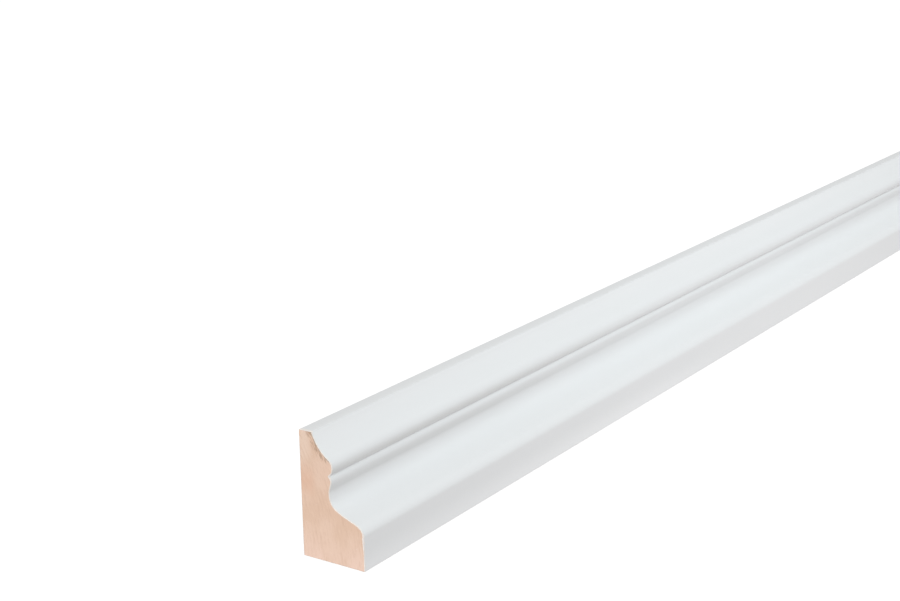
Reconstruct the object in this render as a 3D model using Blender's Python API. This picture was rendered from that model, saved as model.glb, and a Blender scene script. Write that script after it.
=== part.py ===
"""Crown moulding length: one solid pine stick, run to a profile and cut square at both ends.

Frame: X runs along the length, -Y is the moulded front, +Y the flat back and +Z is up. The origin
is on the underside, at the middle of the length and of the width. Metres.
"""

import math

import bmesh
import bpy
from mathutils import Vector
from mathutils.geometry import interpolate_bezier

# The stick
LENGTH = 0.600
ARRIS_EASE = 0.00025

# The members of the profile, from the top down. A reach is how far a member comes forward and a
# drop how far it goes down. A bulge is how far a round member stands over its chord, and a hollow
# how far it lies under it.
TOP_WIDTH = 0.0052

CAVETTO_REACH = 0.0064
CAVETTO_DROP = 0.0083
CAVETTO_HOLLOW = 0.00085

TORUS_REACH = 0.00015
TORUS_DROP = 0.0057
TORUS_BULGE = 0.00144

BEAD_CROWN_REACH = 0.0007
BEAD_CROWN_DROP = 0.0019
BEAD_CROWN_BULGE = 0.0002

BEAD_UNDERCUT = 0.00085
BEAD_UNDERSIDE_DROP = 0.0032
BEAD_UNDERSIDE_BULGE = 0.0001

COVE_REACH = 0.0106
COVE_DROP = 0.0094
COVE_ENTRY_ANGLE = math.radians(5)
COVE_ENTRY_HANDLE = 0.0061
COVE_RUNOUT_HANDLE = 0.0076

NOSE_REACH = 0.0028
NOSE_DROP = 0.0035
NOSE_TOP_HANDLE = 0.0012
NOSE_FRONT_HANDLE = 0.0015

# The slope that the cove runs out on, and the nose begins with, below the horizontal
RUNOUT_ANGLE = math.radians(21.5)

FASCIA_DROP = 0.0120

# The whole section is the sum of its members
BASE_WIDTH = (
    TOP_WIDTH
    + CAVETTO_REACH
    + TORUS_REACH
    + BEAD_CROWN_REACH
    - BEAD_UNDERCUT
    + COVE_REACH
    + NOSE_REACH
)
BACK_HEIGHT = (
    CAVETTO_DROP
    + TORUS_DROP
    + BEAD_CROWN_DROP
    + BEAD_UNDERSIDE_DROP
    + COVE_DROP
    + NOSE_DROP
    + FASCIA_DROP
)

# How finely the round members are faceted
ARC_STEPS = 14
CURVE_STEPS = 20
EASE_STEPS = 4
SMOOTH_ANGLE = math.radians(30)

PRIMER_WHITE = (0.80, 0.825, 0.84, 1.0)
PRIMER_ROUGHNESS = 0.55
RAW_PINE = (0.75, 0.545, 0.40, 1.0)
PINE_ROUGHNESS = 0.85


def arc(start, end, bulge):
    """Points of a circular arc that stands forward of its chord by the bulge, or behind it if negative."""
    chord = end - start
    half = chord.length / 2
    radius = (half**2 + bulge**2) / (2 * bulge)
    forward = Vector((-chord.y, chord.x)) / chord.length
    centre = (start + end) / 2 + forward * (bulge - radius)
    sweep = 4 * math.atan(bulge / half)
    spoke = start - centre
    points = []
    for step in range(ARC_STEPS + 1):
        turn = -sweep * step / ARC_STEPS
        turned = Vector((
            spoke.x * math.cos(turn) - spoke.y * math.sin(turn),
            spoke.x * math.sin(turn) + spoke.y * math.cos(turn),
        ))
        points.append(centre + turned)
    return points


def curve(start, start_handle, end_handle, end):
    """Points of a cubic curve, its handles given as steps away from its two ends."""
    return interpolate_bezier(start, start + start_handle, end + end_handle, end, CURVE_STEPS + 1)


def joined(*members):
    """The members as one path, with each shared end kept once."""
    path = list(members[0])
    for member in members[1:]:
        path += member[1:]
    return path


def moulded_front():
    """The front from the top's front corner down to the foot, as (forward, up) points."""
    top_corner = Vector((TOP_WIDTH, BACK_HEIGHT))
    torus_top = top_corner + Vector((CAVETTO_REACH, -CAVETTO_DROP))
    quirk = torus_top + Vector((TORUS_REACH, -TORUS_DROP))
    bead_front = quirk + Vector((BEAD_CROWN_REACH, -BEAD_CROWN_DROP))
    cove_top = bead_front + Vector((-BEAD_UNDERCUT, -BEAD_UNDERSIDE_DROP))
    nose_top = cove_top + Vector((COVE_REACH, -COVE_DROP))
    fascia_top = Vector((BASE_WIDTH, FASCIA_DROP))
    front_foot = Vector((BASE_WIDTH, 0))

    entry = Vector((-math.sin(COVE_ENTRY_ANGLE), -math.cos(COVE_ENTRY_ANGLE)))
    runout = Vector((math.cos(RUNOUT_ANGLE), -math.sin(RUNOUT_ANGLE)))
    up = Vector((0, 1))
    return joined(
        arc(top_corner, torus_top, -CAVETTO_HOLLOW),
        arc(torus_top, quirk, TORUS_BULGE),
        arc(quirk, bead_front, BEAD_CROWN_BULGE),
        arc(bead_front, cove_top, BEAD_UNDERSIDE_BULGE),
        curve(cove_top, entry * COVE_ENTRY_HANDLE, -runout * COVE_RUNOUT_HANDLE, nose_top),
        curve(nose_top, runout * NOSE_TOP_HANDLE, up * NOSE_FRONT_HANDLE, fascia_top),
        [fascia_top, front_foot],
    )


def shortened(path, length):
    """The path without its first stretch of that length."""
    for i in range(1, len(path)):
        step = (path[i] - path[i - 1]).length
        if step > length:
            return [path[i - 1].lerp(path[i], length / step)] + path[i:]
        length -= step
    return path[-1:]


def rounded_corner(start, corner, end):
    """The points between start and end that round the corner over."""
    points = []
    for step in range(1, EASE_STEPS):
        part = step / EASE_STEPS
        points.append(start.lerp(corner, part).lerp(corner.lerp(end, part), part))
    return points


def eased_loop(sides):
    """One closed outline from sides that meet at corners, with each corner eased."""
    trimmed = []
    for side in sides:
        side = shortened(side, ARRIS_EASE)
        side = shortened(side[::-1], ARRIS_EASE)[::-1]
        trimmed.append(side)
    loop = []
    for i, side in enumerate(trimmed):
        following = trimmed[(i + 1) % len(trimmed)]
        loop += side + rounded_corner(side[-1], sides[i][-1], following[0])
    return loop


def section():
    """The whole outline as (forward, up) points, clockwise from the foot of the back."""
    back_foot = Vector((0, 0))
    back_top = Vector((0, BACK_HEIGHT))
    top_front = Vector((TOP_WIDTH, BACK_HEIGHT))
    front_foot = Vector((BASE_WIDTH, 0))
    return eased_loop([
        [back_foot, back_top],
        [back_top, top_front],
        moulded_front(),
        [front_foot, back_foot],
    ])


def material(name, colour, roughness):
    """A plain material of one colour."""
    made = bpy.data.materials.new(name)
    made.use_nodes = True
    shader = made.node_tree.nodes["Principled BSDF"]
    shader.inputs["Base Color"].default_value = colour
    shader.inputs["Roughness"].default_value = roughness
    shader.inputs["Metallic"].default_value = 0.0
    made.diffuse_color = colour
    return made


def crown_moulding():
    """The stick: its section drawn at one end and extruded to the other, the cut ends left raw."""
    solid = bmesh.new()
    corners = [
        solid.verts.new((-LENGTH / 2, BASE_WIDTH / 2 - point.x, point.y)) for point in section()
    ]
    end_face = solid.faces.new(corners)
    extruded = bmesh.ops.extrude_face_region(solid, geom=[end_face])
    moved = [part for part in extruded["geom"] if isinstance(part, bmesh.types.BMVert)]
    bmesh.ops.translate(solid, vec=(LENGTH, 0, 0), verts=moved)
    bmesh.ops.recalc_face_normals(solid, faces=solid.faces)
    for face in solid.faces:
        is_end = len(face.verts) > 4
        face.material_index = 1 if is_end else 0

    mesh = bpy.data.meshes.new("crown_moulding")
    solid.to_mesh(mesh)
    solid.free()
    mesh.shade_smooth()
    mesh.set_sharp_from_angle(angle=SMOOTH_ANGLE)
    mesh.materials.append(material("primer_white", PRIMER_WHITE, PRIMER_ROUGHNESS))
    mesh.materials.append(material("raw_pine", RAW_PINE, PINE_ROUGHNESS))
    stick = bpy.data.objects.new("crown_moulding", mesh)
    bpy.context.scene.collection.objects.link(stick)


def remove_objects():
    """Empties the scene."""
    for thing in list(bpy.data.objects):
        bpy.data.objects.remove(thing)


remove_objects()
crown_moulding()
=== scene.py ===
"""Looks of a length of crown moulding: white primer over pine, cut ends raw, on a white studio floor."""

import math

import bmesh
import bpy
import numpy as np
from mathutils import Matrix, Vector, noise
from mathutils.geometry import delaunay_2d_cdt


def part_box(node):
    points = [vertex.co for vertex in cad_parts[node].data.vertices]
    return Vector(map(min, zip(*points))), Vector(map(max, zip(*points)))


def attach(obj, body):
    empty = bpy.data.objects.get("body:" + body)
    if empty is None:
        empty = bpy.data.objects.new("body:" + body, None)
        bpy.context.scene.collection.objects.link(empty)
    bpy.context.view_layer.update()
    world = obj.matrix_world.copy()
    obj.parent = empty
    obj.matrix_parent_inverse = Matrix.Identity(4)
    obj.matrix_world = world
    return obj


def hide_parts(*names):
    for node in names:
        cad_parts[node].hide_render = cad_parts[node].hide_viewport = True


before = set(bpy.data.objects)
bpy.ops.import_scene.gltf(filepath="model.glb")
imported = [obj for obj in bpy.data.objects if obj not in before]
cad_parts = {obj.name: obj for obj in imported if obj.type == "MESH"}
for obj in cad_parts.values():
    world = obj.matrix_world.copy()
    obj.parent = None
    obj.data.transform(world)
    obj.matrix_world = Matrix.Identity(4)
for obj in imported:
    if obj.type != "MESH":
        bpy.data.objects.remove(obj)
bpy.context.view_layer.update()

MM = 0.001

# The stick, read from the frame
NODE = "crown_moulding"
LOW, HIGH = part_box(NODE)
NEAR_END, FAR_END = LOW.x, HIGH.x
LENGTH = FAR_END - NEAR_END
BACK = HIGH.y

# How finely the stick is meshed
WELD = 0.001 * MM
TINY = 1e-9 * MM
FLAT_STEP = 0.5 * MM
HOLDING_STEP = 0.12 * MM
FIRST_RING_STEP = 0.12 * MM
RING_STEP = 3.5 * MM
RING_STEP_GROWTH = 1.6
GRAIN_STEP = 0.33 * MM
GRAIN_SHAKE = 0.07 * MM
GRAIN_MARGIN = 0.18 * MM
CREASE_ANGLE = math.radians(38)

# Slow waves that the planer and the sander leave in the painted faces
WAVE_LENGTH = 70 * MM
WAVE_ACROSS = 20 * MM
WAVE_DEPTH = 0.05 * MM
PLANER_PITCH = 1.7 * MM

# The primer coat, as its edge shows round the cut ends
FILM_FRONT = 0.17 * MM
FILM_HIDDEN = 0.1 * MM
FILM_RAGGED = 0.6
FILM_RAG_SIZE = 0.9 * MM
FILM_CHIP_DEPTH = 0.09 * MM
FILM_PROUD = 0.02 * MM
FILM_MOST = 0.7
EDGE_BREAK = 0.05 * MM
ARRIS = 0.25 * MM

# Where the saw tore the primer wider, and where the coat is thinnest: the place in the section, how
# far it reaches, and how much it adds
TORN_QUIRK = (Vector((BACK - 11.6 * MM, 30 * MM)), 1.7 * MM, 0.3 * MM)
TORN_FASCIA = (Vector((BACK - 25 * MM, 10.2 * MM)), 3.2 * MM, 0.42 * MM)
THIN_TOP = (Vector((BACK - 5.5 * MM, 43 * MM)), 8 * MM, -0.13 * MM)

# The pale lip of broken primer that runs round each cut on the painted faces, made paler by a painted
# highlight where its broken edge catches the light
LIP_WIDTH = 0.4 * MM
LIP_RAGGED = 1.3 * MM
LIP_TOP_EXTRA = 0.7 * MM

# Growth rings: arcs round a pith that lay behind the stick's foot. The grain drifts a little as it
# runs along the stick
PITH_Y = BACK + 75 * MM
PITH_Z = -4 * MM
PITH_TO_MIDDLE = 90 * MM
RING_SPACING = 1.55 * MM
GRAIN_DRIFT = 0.02

# The cavetto's arc, round a middle in front of the stick, that the dark wood behind it follows
CAVETTO_Y = BACK - 20.86 * MM
CAVETTO_Z = 49.46 * MM
CAVETTO_RADIUS = 16.58 * MM

# Relief of the sawn ends: the blade's marks are arcs round its arbor
SAW_Y = -76.2 * MM
SAW_Z = 127 * MM
SAW_PITCH = 1.3 * MM
SAW_DEPTH = 0.018 * MM
EARLYWOOD_DEPTH = 0.03 * MM
UNEVEN_SIZE = 4 * MM
UNEVEN_DEPTH = 0.05 * MM
TORN_SIZE = 0.9 * MM
TORN_DEPTH = 0.22 * MM
TORN_SHARE = 0.42

# How far along the noise the chips and the torn fibres are read, past an end's own place in it
CHIP_SHIFT = 7.3
TORN_SHIFT = 3.1

# How an end is triangulated: only inside its rim, and with corners this near, in millimetres, as one
INSIDE_RIM = 1
SAME_CORNER = 1e-6

# The camera, at the place and lens that the photo's vanishing points give
CAMERA_FROM_FOOT = Vector((-0.38322, -0.32272, 0.22528))
CAMERA_HEADING = math.radians(34.45)
CAMERA_PITCH = math.radians(-15.616)
CAMERA_ROLL = math.radians(-0.988)
CAMERA_LENS = 65.897
SENSOR_WIDTH = 36.0


def rgb(red, green, blue):
    return (red, green, blue, 1.0)


# The studio: a white floor, whose light on the stick fades away from a place along its length
WHITE = rgb(1.0, 1.0, 1.0)
BLACK = rgb(0.0, 0.0, 0.0)
FLOOR_SIZE = 12.0
FLOOR_GLOW = 0.96
FLOOR_PAINT = rgb(0.12, 0.12, 0.12)
FLOOR_LIGHT = rgb(0.797, 0.760, 0.756)
BRIGHTEST_X = 0.04
FADE_REACH = 0.6
WORLD_LIGHT = rgb(0.580, 0.545, 0.535)


class Value:
    """A shader socket that Python's operators work on, each adding a Math node."""

    def __init__(self, nodes, socket):
        self.nodes = nodes
        self.socket = socket

    def math(self, operation, *others):
        terms = dict(enumerate((self, *others)))
        return self.nodes.add("ShaderNodeMath", {"operation": operation}, terms)

    def reflected(self, operation, first):
        return self.nodes.add("ShaderNodeMath", {"operation": operation}, {0: first, 1: self})

    def __add__(self, other):
        return self.math("ADD", other)

    __radd__ = __add__

    def __sub__(self, other):
        return self.math("SUBTRACT", other)

    def __rsub__(self, other):
        return self.reflected("SUBTRACT", other)

    def __mul__(self, other):
        return self.math("MULTIPLY", other)

    def __truediv__(self, other):
        return self.math("DIVIDE", other)

    def __rtruediv__(self, other):
        return self.reflected("DIVIDE", other)

    def __abs__(self):
        return self.math("ABSOLUTE")

    def fraction(self):
        return self.math("FRACT")

    def step(self, start, end, low, high):
        """A smooth step from low at start to high at end."""
        return self.nodes.add(
            "ShaderNodeMapRange",
            {"interpolation_type": "SMOOTHSTEP"},
            {"Value": self, "From Min": start, "From Max": end, "To Min": low, "To Max": high},
        )

    def rise(self, start, end):
        return self.step(start, end, 0.0, 1.0)

    def fall(self, start, end):
        return self.step(start, end, 1.0, 0.0)


class Nodes:
    """A node tree, with the one method that adds nodes to it."""

    def __init__(self, tree):
        self.tree = tree
        self.place = self.add("ShaderNodeTexCoord", output="Object")
        self.x = self.along("X")
        self.y = self.along("Y")
        self.z = self.along("Z")

    def add(self, kind, settings=None, inputs=None, output=0):
        """Adds a node, makes its settings, feeds its sockets and returns one of its outputs."""
        node = self.tree.nodes.new(kind)
        for name, setting in (settings or {}).items():
            setattr(node, name, setting)
        for name, value in (inputs or {}).items():
            self.feed(node.inputs[name], value)
        return Value(self, node.outputs[output])

    def feed(self, socket, value):
        """Links a value to a socket, or sets a plain number or colour on it."""
        if isinstance(value, Value):
            self.tree.links.new(value.socket, socket)
        else:
            socket.default_value = value

    def along(self, axis):
        """Where a point lies along an axis, in metres."""
        return self.add("ShaderNodeSeparateXYZ", inputs={"Vector": self.place}, output=axis)

    def seen_by_camera(self):
        """1 where the camera looks straight at a surface, and 0 for what lights the stick."""
        return self.add("ShaderNodeLightPath", output="Is Camera Ray")

    def distance_from(self, y, z):
        """How far a point lies from a line along the stick."""
        out_y = self.y - y
        out_z = self.z - z
        return (out_y * out_y + out_z * out_z).math("SQRT")

    def mix(self, factor, first, second):
        """The first colour, blended into the second by the factor."""
        inputs = {0: factor, 6: first, 7: second}
        return self.add("ShaderNodeMix", {"data_type": "RGBA"}, inputs, output=2)

    def scaled(self, place, sizes):
        """A place measured in these sizes along X, Y and Z."""
        shares = [1 / size for size in sizes]
        return self.add("ShaderNodeVectorMath", {"operation": "MULTIPLY"}, {0: place, 1: shares})

    def grain(self, sizes, place=None, detail=2.0, roughness=0.5):
        """Noise from 0 to 1 whose blobs have these sizes along X, Y and Z."""
        inputs = {
            "Vector": self.scaled(place or self.place, sizes),
            "Scale": 1.0,
            "Detail": detail,
            "Roughness": roughness,
        }
        return self.add("ShaderNodeTexNoise", inputs=inputs)

    def bump(self, height, depth, onto=None):
        """A surface normal raised by the height from 0 to 1, of this depth in metres."""
        inputs = {"Height": height, "Strength": 1.0, "Distance": depth}
        if onto:
            inputs["Normal"] = onto
        return self.add("ShaderNodeBump", inputs=inputs)


def finish(name, look):
    """A material whose Principled shader takes what the look works out for its sockets."""
    material = bpy.data.materials.new(name)
    material.use_nodes = True
    nodes = Nodes(material.node_tree)
    shader = nodes.tree.nodes["Principled BSDF"]
    for socket, value in look(nodes).items():
        nodes.feed(shader.inputs[socket], value)
    return material


def white_primer(nodes):
    """Sprayed white primer: faintly mottled, thin on the back and the base, with a pale ragged lip at
    each cut that is partly painted highlight. It has painted shade under the torus, under the bead and
    at the back of the top face, and painted light at the top of the cavetto and along the foot."""
    back = nodes.y.rise(BACK - 0.25 * MM, BACK - 0.08 * MM)
    base = nodes.z.fall(0.08 * MM, 0.25 * MM)
    thin = (back + base).rise(0.0, 1.0)
    top = nodes.z.rise(HIGH.z - 0.5 * MM, HIGH.z - 0.1 * MM)
    # Painted shade: the top face darker over its back few millimetres.
    top_back = top * nodes.y.rise(BACK - 5 * MM, BACK - 1.5 * MM)
    # Painted bounce light: the primer whiter low on the faces near the near end, as if lit by the floor.
    painted_bounce_at_foot = nodes.z.fall(0.0, 9 * MM) * nodes.x.fall(-120 * MM, 0.0)
    # Painted light: the primer whiter over the upper cavetto, where its steep face is shaded darker.
    painted_light_at_cavetto_top = nodes.z.rise(37.5 * MM, 43 * MM) * nodes.z.fall(43.5 * MM, 43.8 * MM)
    # Painted shade: the primer greyer under the torus and the bead, fading out towards the far end.
    shade_band_under_torus = nodes.z.rise(30.3 * MM, 31.2 * MM) * nodes.z.fall(32.4 * MM, 34.2 * MM)
    shade_band_under_bead = nodes.z.rise(22.5 * MM, 25.5 * MM) * nodes.z.fall(26.6 * MM, 28.2 * MM)
    painted_shade_under_mouldings = (shade_band_under_torus + shade_band_under_bead * 0.8) * nodes.x.fall(-240 * MM, -60 * MM)
    # The pale ragged lip round each cut: broken primer, plus a painted highlight on its broken edge.
    from_cut = LENGTH / 2 - abs(nodes.x)
    tear = nodes.grain((1.1 * MM, 1.1 * MM, 1.1 * MM), detail=3.0) - 0.5
    into_lip = from_cut + tear * LIP_RAGGED - top * LIP_TOP_EXTRA
    torn_lip_and_highlight = into_lip.fall(LIP_WIDTH - 0.12 * MM, LIP_WIDTH + 0.12 * MM)

    mottle = nodes.grain((60 * MM, 22 * MM, 22 * MM), detail=3.0)
    fibres = nodes.grain((55 * MM, 0.5 * MM, 0.5 * MM), detail=3.0, roughness=0.6)
    bands = nodes.grain((260 * MM, 2.4 * MM, 2.4 * MM))
    spray = nodes.grain((0.8 * MM, 0.8 * MM, 0.8 * MM))
    dust = nodes.grain((0.45 * MM, 0.45 * MM, 0.45 * MM), detail=1.0).rise(0.74, 0.8)

    coat = nodes.mix(mottle, rgb(0.815, 0.832, 0.842), rgb(0.842, 0.855, 0.862))
    coat = nodes.mix(fibres * 0.35, coat, rgb(0.80, 0.815, 0.82))
    coat = nodes.mix(top_back * 0.7, coat, rgb(0.765, 0.78, 0.785))
    coat = nodes.mix(painted_bounce_at_foot + painted_light_at_cavetto_top * 0.5, coat, rgb(0.895, 0.91, 0.918))
    coat = nodes.mix(painted_shade_under_mouldings, coat, rgb(0.758, 0.77, 0.77))
    coat = nodes.mix(torn_lip_and_highlight * 0.85, coat, rgb(0.905, 0.85, 0.795))
    showing = (fibres * bands).rise(0.12, 0.42) * 0.55
    thin_coat = nodes.mix(showing, rgb(0.80, 0.80, 0.775), rgb(0.70, 0.655, 0.57))
    colour = nodes.mix(thin, coat, thin_coat)
    colour = nodes.mix(dust * 0.12, colour, rgb(0.55, 0.54, 0.52))

    planer = (nodes.x * (2 * math.pi / PLANER_PITCH)).math("SINE") * 0.5 + 0.5
    normal = nodes.bump(spray, 0.006 * MM)
    normal = nodes.bump(fibres, 0.012 * MM, onto=normal)
    normal = nodes.bump(fibres * thin, 0.03 * MM, onto=normal)
    normal = nodes.bump(planer * thin, 0.004 * MM, onto=normal)
    roughness = 0.5 + mottle * 0.08 + spray * 0.05 + thin * 0.12
    return {"Base Color": colour, "Roughness": roughness, "Normal": normal}


def end_grain(nodes):
    """Raw pine across the grain: torn streaks, faint rings, canals, and dark strokes at the cavetto."""
    wander = nodes.grain((60 * MM, 16 * MM, 16 * MM)) - 0.5
    radius = nodes.distance_from(PITH_Y, PITH_Z) + wander * (1.4 * MM)
    arc_length = (nodes.z - PITH_Z).math("ARCTAN2", PITH_Y - nodes.y) * PITH_TO_MIDDLE
    round_pith = nodes.add(
        "ShaderNodeCombineXYZ", inputs={"X": radius, "Y": arc_length, "Z": nodes.x * GRAIN_DRIFT}
    )

    cloud = nodes.grain((80 * MM, 7 * MM, 11 * MM), detail=1.0).rise(0.35, 0.65)
    tone = nodes.mix(cloud, rgb(0.79, 0.578, 0.44), rgb(0.835, 0.625, 0.492))
    # Painted bounce light: the sawn end lighter and pinker towards the foot, as if lit by the floor,
    # less so across the middle.
    foot = nodes.z.fall(0.5 * MM, 11 * MM)
    middle = nodes.y.rise(BACK - 21 * MM, BACK - 18 * MM) * nodes.y.fall(BACK - 9 * MM, BACK - 6.5 * MM)
    tone = nodes.mix(foot * (0.7 - middle * 0.35), tone, rgb(0.90, 0.68, 0.57))
    redder = nodes.z.rise(19 * MM, 26.5 * MM) * nodes.z.fall(27 * MM, 34 * MM)
    redder = redder * nodes.y.rise(BACK - 7 * MM, BACK - 3.5 * MM)
    tone = nodes.mix(redder, tone, rgb(0.796, 0.549, 0.41))
    top_back = nodes.z.rise(31.5 * MM, 36 * MM) * nodes.y.rise(BACK - 6 * MM, BACK - 2.5 * MM)
    tone = nodes.mix(top_back * 0.85, tone, rgb(0.868, 0.685, 0.555))

    ring = (radius / RING_SPACING).fraction()
    latewood = ring.rise(0.2, 0.85) * ring.fall(0.88, 1.0)
    ring_shows = nodes.grain((3.4 * MM, 9 * MM, 1.0), round_pith).rise(0.45, 0.7)
    colour = nodes.mix(latewood * ring_shows * 0.3, tone, rgb(0.66, 0.45, 0.32))

    streaks = nodes.grain((0.5 * MM, 3.4 * MM, 1.0), round_pith, detail=4.0, roughness=0.65)
    fibres = nodes.grain((0.3 * MM, 1.3 * MM, 1.0), round_pith)
    colour = nodes.mix(streaks.fall(0.3, 0.5) * 0.32, colour, rgb(0.64, 0.44, 0.32))
    colour = nodes.mix(streaks.rise(0.54, 0.7) * 0.3, colour, rgb(0.93, 0.74, 0.61))
    colour = nodes.mix(fibres.rise(0.6, 0.75) * 0.3, colour, rgb(0.66, 0.46, 0.34))

    behind_cavetto = nodes.distance_from(CAVETTO_Y, CAVETTO_Z) - CAVETTO_RADIUS
    upper = nodes.z.rise(33.5 * MM, 35.5 * MM)
    strokes = nodes.grain((0.35 * MM, 2.8 * MM, 1.0), round_pith, detail=1.0).rise(0.45, 0.57)
    stroked = behind_cavetto.fall(1.4 * MM, 3.2 * MM) * strokes
    colour = nodes.mix(upper * stroked * 0.7, colour, rgb(0.43, 0.28, 0.185))
    uneven = nodes.grain((2.0 * MM, 2.0 * MM, 2.0 * MM)).rise(0.3, 0.6)
    rim = behind_cavetto.fall(0.45 * MM, 0.75 * MM) * (0.4 + uneven * 0.6)
    colour = nodes.mix(upper * rim * 0.7, colour, rgb(0.40, 0.33, 0.25))

    canals = nodes.add(
        "ShaderNodeTexVoronoi",
        {"feature": "F1"},
        {"Vector": nodes.scaled(nodes.place, (1.0, 1.5 * MM, 1.5 * MM)), "Scale": 1.0},
        output="Distance",
    ).fall(0.05, 0.1)
    colour = nodes.mix(canals * 0.3, colour, rgb(0.50, 0.32, 0.20))
    primer_dust = nodes.grain((0.5 * MM, 0.5 * MM, 0.5 * MM), detail=1.0).rise(0.76, 0.8)
    colour = nodes.mix(primer_dust * 0.7, colour, rgb(0.93, 0.89, 0.85))

    fuzz = nodes.grain((0.16 * MM, 0.16 * MM, 0.16 * MM))
    normal = nodes.bump(fuzz, 0.02 * MM)
    normal = nodes.bump(streaks, 0.02 * MM, onto=normal)
    return {"Base Color": colour, "Roughness": 0.78 + fuzz * 0.12, "Normal": normal}


def cad_outline():
    """The CAD section's outline at the near end: (y, z) points, anticlockwise as +X sees them."""
    solid = bmesh.new()
    solid.from_mesh(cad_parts[NODE].data)
    bmesh.ops.remove_doubles(solid, verts=solid.verts, dist=WELD)
    neighbours = {}
    for edge in solid.edges:
        end_faces = [face for face in edge.link_faces if face.normal.x < -0.9]
        if len(end_faces) == 1:
            first, second = edge.verts
            neighbours.setdefault(first, []).append(second)
            neighbours.setdefault(second, []).append(first)
    start = next(iter(neighbours))
    walk = [start, neighbours[start][0]]
    while walk[-1] != start:
        one, other = neighbours[walk[-1]]
        walk.append(other if one == walk[-2] else one)
    outline = [corner.co.yz for corner in walk[:-1]]
    solid.free()
    area = sum(this.cross(following) for this, following in zip(outline, outline[1:] + outline[:1]))
    return outline if area > 0 else outline[::-1]


def stepped(outline):
    """The outline with its long straight sides cut into steps, and a short step next to each corner."""
    points = []
    for start, end in zip(outline, outline[1:] + outline[:1]):
        points.append(start)
        length = (end - start).length
        if length > 2 * FLAT_STEP:
            hold = HOLDING_STEP / length
            count = round(length / FLAT_STEP)
            for i in range(count + 1):
                points.append(start.lerp(end, hold + (1 - 2 * hold) * i / count))
    return points


def inward_directions(outline):
    """For each point of the outline, the direction straight into the solid."""
    directions = []
    for before, point, after in zip(outline[-1:] + outline[:-1], outline, outline[1:] + outline[:1]):
        along = (point - before).normalized() + (after - point).normalized()
        directions.append(Vector((-along.y, along.x)).normalized())
    return directions


def stations():
    """Distances from either end at which rings of points stand, short steps first."""
    distances = [0.0]
    step = FIRST_RING_STEP
    while distances[-1] + step < LENGTH / 2:
        distances.append(distances[-1] + step)
        step = min(step * RING_STEP_GROWTH, RING_STEP)
    return distances


def wave(x, point):
    """How far under the true section the painted face lies there."""
    spot = Vector((x / WAVE_LENGTH, point.x / WAVE_ACROSS, point.y / WAVE_ACROSS))
    return WAVE_DEPTH * (1 + noise.noise(spot)) / 2


def film_thickness(point, seed):
    """The ragged width of the primer's edge round a cut end, thinner on the back and the base."""
    cover = min(min(BACK - point.x, point.y) / ARRIS, 1)
    thickness = FILM_HIDDEN + (FILM_FRONT - FILM_HIDDEN) * cover
    for middle, reach, extra in (TORN_QUIRK, TORN_FASCIA, THIN_TOP):
        thickness += extra * max(1 - ((point - middle).length / reach) ** 2, 0)
    spot = Vector((point.x / FILM_RAG_SIZE, point.y / FILM_RAG_SIZE, seed))
    return thickness * (1 + FILM_RAGGED * noise.noise(spot))


def room_inside(outline, inwards):
    """For each point, the radius of the largest circle in the outline that touches it there."""
    points = np.array(outline)
    across = points[None] - points[:, None]
    ahead = np.einsum("ijk,ik->ij", across, np.array(inwards))
    squared = (across**2).sum(axis=-1)
    np.fill_diagonal(squared, np.inf)
    return (squared / (2 * np.maximum(ahead, TINY))).min(axis=1)


def film_loop(outline, seed):
    """The inner edge of the primer round a cut end, which never crosses itself at an arris."""
    inwards = inward_directions(outline)
    loop = []
    for point, inward, room in zip(outline, inwards, room_inside(outline, inwards)):
        thickness = min(film_thickness(point, seed), FILM_MOST * room)
        loop.append(point + inward * thickness)
    return loop


def film_chip(point, seed):
    """How deep the primer's edge is chipped at a cut end."""
    spot = Vector((point.x / FILM_RAG_SIZE, point.y / FILM_RAG_SIZE, seed + CHIP_SHIFT))
    return FILM_CHIP_DEPTH * max(noise.noise(spot), 0)


def sawn_depth(point, seed):
    """How deep the sawn wood lies under a cut end's plane."""
    radius = math.hypot(point.x - PITH_Y, point.y - PITH_Z)
    ring = radius / RING_SPACING % 1
    earlywood = EARLYWOOD_DEPTH * (1 - ring**2)
    from_arbor = math.hypot(point.x - SAW_Y, point.y - SAW_Z)
    saw = SAW_DEPTH * (1 + math.sin(2 * math.pi * from_arbor / SAW_PITCH)) / 2
    unevenness = noise.noise(Vector((*point, 0)) / UNEVEN_SIZE + Vector((0, 0, seed)))
    uneven = UNEVEN_DEPTH * (1 + unevenness) / 2
    torn = noise.noise(Vector((*point, 0)) / TORN_SIZE + Vector((0, 0, seed + TORN_SHIFT)))
    return earlywood + saw + uneven + TORN_DEPTH * max(torn - TORN_SHARE, 0)


def clear_inside(points, loop):
    """Which of the points lie inside the anticlockwise loop and clear of its edge."""
    starts = np.array(loop)
    sides = np.roll(starts, -1, axis=0) - starts
    winding = np.zeros(len(points), int)
    nearest = np.full(len(points), np.inf)
    for start, side in zip(starts, sides):
        offset = points - start
        share = np.clip(offset @ side / (side @ side), 0, 1)
        nearest = np.minimum(nearest, np.linalg.norm(offset - share[:, None] * side, axis=1))
        left = side[0] * offset[:, 1] > side[1] * offset[:, 0]
        upward = (offset[:, 1] >= 0) & (offset[:, 1] < side[1])
        downward = (offset[:, 1] < 0) & (offset[:, 1] >= side[1])
        winding += (upward & left).astype(int) - (downward & ~left).astype(int)
    return (winding != 0) & (nearest > GRAIN_MARGIN)


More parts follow.
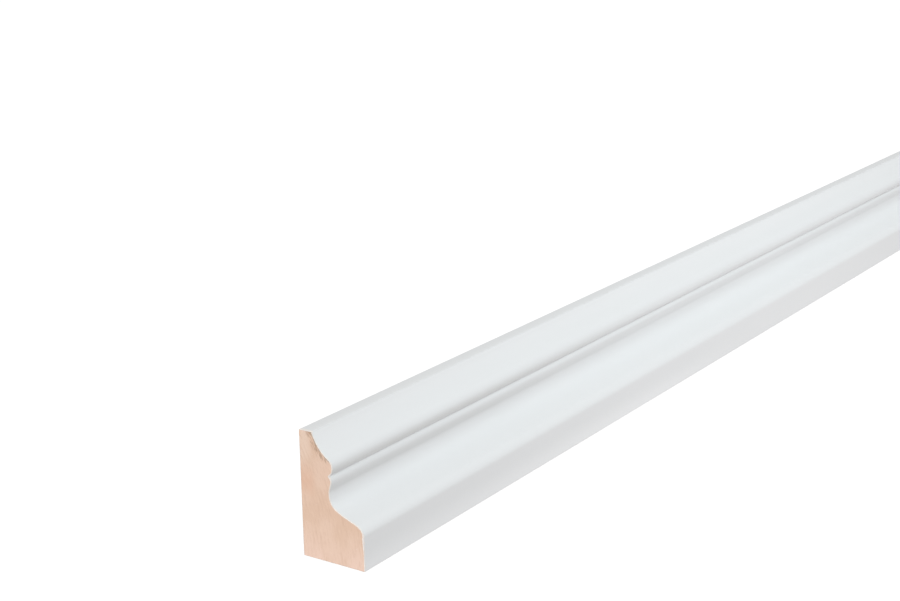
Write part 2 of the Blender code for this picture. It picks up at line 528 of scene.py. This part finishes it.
def grain_points(loop, seed):
    """Points in slightly shaken rows that fill the loop."""
    rows = np.arange(LOW.z, HIGH.z, GRAIN_STEP * math.sqrt(3) / 2)
    columns = np.arange(LOW.y, HIGH.y, GRAIN_STEP)
    across, up = np.meshgrid(columns, rows)
    across += (np.arange(len(rows)) % 2)[:, None] * GRAIN_STEP / 2
    points = np.stack([across, up], axis=-1).reshape(-1, 2)
    points += np.random.default_rng(seed).uniform(-GRAIN_SHAKE, GRAIN_SHAKE, points.shape)
    return [Vector(point) for point in points[clear_inside(points, loop)]]


def strip(solid, loop, next_loop, material_index=0):
    """A closed band of faces between two loops of corners."""
    for i in range(len(loop)):
        j = (i + 1) % len(loop)
        face = solid.faces.new((loop[i], loop[j], next_loop[j], next_loop[i]))
        face.material_index = material_index


def painted_sides(solid, outline):
    """The painted faces, joined from rings of points. Returns the rings at the two ends."""
    inwards = inward_directions(outline)
    distances = stations()
    near_half = [NEAR_END + distance for distance in distances]
    far_half = [FAR_END - distance for distance in reversed(distances)]
    rings = []
    for x in near_half + far_half:
        at_end = x in (NEAR_END, FAR_END)
        into = 1 if x < 0 else -1
        ring = []
        for point, inward in zip(outline, inwards):
            lowered = wave(x, point) + (EDGE_BREAK if at_end else 0)
            chipped = film_chip(point, x) if at_end else 0
            ring.append(solid.verts.new((x + into * chipped, *(point + inward * lowered))))
        rings.append(ring)
    for ring, following in zip(rings, rings[1:]):
        strip(solid, ring, following)
    return rings[0], rings[-1]


def cut_end(solid, rim, x, into, seed):
    """Closes an end with the primer's ragged edge and the sawn wood inside it."""
    film_points = film_loop([corner.co.yz for corner in rim], seed)
    film_edge = [
        solid.verts.new((corner.co.x, *point)) for corner, point in zip(rim, film_points)
    ]
    strip(solid, rim, film_edge)

    wood_points = film_points + grain_points(film_points, seed)
    wood = [
        solid.verts.new((x + into * (FILM_PROUD + sawn_depth(point, seed)), *point))
        for point in wood_points
    ]
    wood_rim = wood[:len(film_points)]
    strip(solid, film_edge, wood_rim, 1)
    rim_edges = [(i, (i + 1) % len(wood_rim)) for i in range(len(wood_rim))]
    flat_points = [point / MM for point in wood_points]
    flat = delaunay_2d_cdt(flat_points, rim_edges, [], INSIDE_RIM, SAME_CORNER)
    triangles, sources = flat[2], flat[3]
    for triangle in triangles:
        face = solid.faces.new([wood[sources[i][0]] for i in triangle])
        face.material_index = 1


def crown_moulding():
    """The whole stick as one closed skin: painted faces, and sawn wood at both ends."""
    solid = bmesh.new()
    near_rim, far_rim = painted_sides(solid, stepped(cad_outline()))
    cut_end(solid, near_rim, NEAR_END, 1, seed=1)
    cut_end(solid, far_rim, FAR_END, -1, seed=2)
    bmesh.ops.recalc_face_normals(solid, faces=solid.faces)
    mesh = bpy.data.meshes.new("primed_moulding")
    solid.to_mesh(mesh)
    solid.free()
    mesh.shade_smooth()
    mesh.set_sharp_from_angle(angle=CREASE_ANGLE)
    mesh.materials.append(finish("white_primer", white_primer))
    mesh.materials.append(finish("raw_pine_end", end_grain))
    stick = bpy.data.objects.new("primed_moulding", mesh)
    bpy.context.scene.collection.objects.link(stick)
    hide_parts(NODE)
    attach(stick, "root")


def surroundings():
    """A world that the camera sees as white, and that lights the stick a little less."""
    world = bpy.data.worlds.new("white_surroundings")
    world.use_nodes = True
    nodes = Nodes(world.node_tree)
    colour = nodes.mix(nodes.seen_by_camera(), WORLD_LIGHT, WHITE)
    nodes.feed(nodes.tree.nodes["Background"].inputs["Color"], colour)
    bpy.context.scene.world = world


def lit_sheet():
    """The floor's material: white to the camera but for a trace of the stick's shadow, and duller
    towards the ends as a light on the stick."""
    material = bpy.data.materials.new("lit_sheet")
    material.use_nodes = True
    nodes = Nodes(material.node_tree)
    nodes.tree.nodes.remove(nodes.tree.nodes["Principled BSDF"])
    away = (nodes.x - BRIGHTEST_X) / FADE_REACH
    faded = nodes.mix(1 / (1 + away * away), BLACK, FLOOR_LIGHT)
    bounce = nodes.add("ShaderNodeEmission", inputs={"Color": faded})
    glow = nodes.add("ShaderNodeEmission", inputs={"Color": WHITE, "Strength": FLOOR_GLOW})
    shaded = nodes.add("ShaderNodeBsdfDiffuse", inputs={"Color": FLOOR_PAINT})
    seen = nodes.add("ShaderNodeAddShader", inputs={0: glow, 1: shaded})
    both = nodes.add("ShaderNodeMixShader", inputs={0: nodes.seen_by_camera(), 1: bounce, 2: seen})
    nodes.feed(nodes.tree.nodes["Material Output"].inputs["Surface"], both)
    return material


def studio_floor():
    half = FLOOR_SIZE / 2
    mesh = bpy.data.meshes.new("studio_floor")
    corners = [(-half, -half, 0), (half, -half, 0), (half, half, 0), (-half, half, 0)]
    mesh.from_pydata(corners, [], [(0, 1, 2, 3)])
    mesh.materials.append(lit_sheet())
    floor = bpy.data.objects.new("studio_floor", mesh)
    bpy.context.scene.collection.objects.link(floor)


def softbox(name, place, size, power, colour):
    """A square area light that faces the stick's middle."""
    light = bpy.data.lights.new(name, "AREA")
    light.shape = "SQUARE"
    light.size = size
    light.energy = power
    light.color = colour
    lamp = bpy.data.objects.new(name, light)
    lamp.location = place
    lamp.rotation_euler = Vector(place).to_track_quat("Z", "Y").to_euler()
    bpy.context.scene.collection.objects.link(lamp)


def camera():
    """The camera, where the photo's vanishing points put it."""
    lens = bpy.data.cameras.new("camera")
    lens.lens = CAMERA_LENS
    lens.sensor_width = SENSOR_WIDTH
    lens.clip_start = 0.01
    shot = bpy.data.objects.new("camera", lens)
    heading = Matrix.Rotation(CAMERA_HEADING - math.pi / 2, 4, "Z")
    pitch = Matrix.Rotation(math.pi / 2 + CAMERA_PITCH, 4, "X")
    roll = Matrix.Rotation(CAMERA_ROLL, 4, "Z")
    foot = Vector((NEAR_END, BACK, LOW.z))
    shot.matrix_world = Matrix.Translation(foot + CAMERA_FROM_FOOT) @ heading @ pitch @ roll
    bpy.context.scene.collection.objects.link(shot)
    bpy.context.scene.camera = shot


bpy.context.scene.view_settings.view_transform = "Standard"
surroundings()
studio_floor()
softbox("key_softbox", place=(0.02, -0.574, 0.839), size=0.6, power=5.0, colour=(0.85, 0.97, 1.0))
softbox("end_softbox", place=(-2.0, 0.1, 0.12), size=0.6, power=16.6, colour=(1.0, 1.0, 1.0))
camera()
crown_moulding()
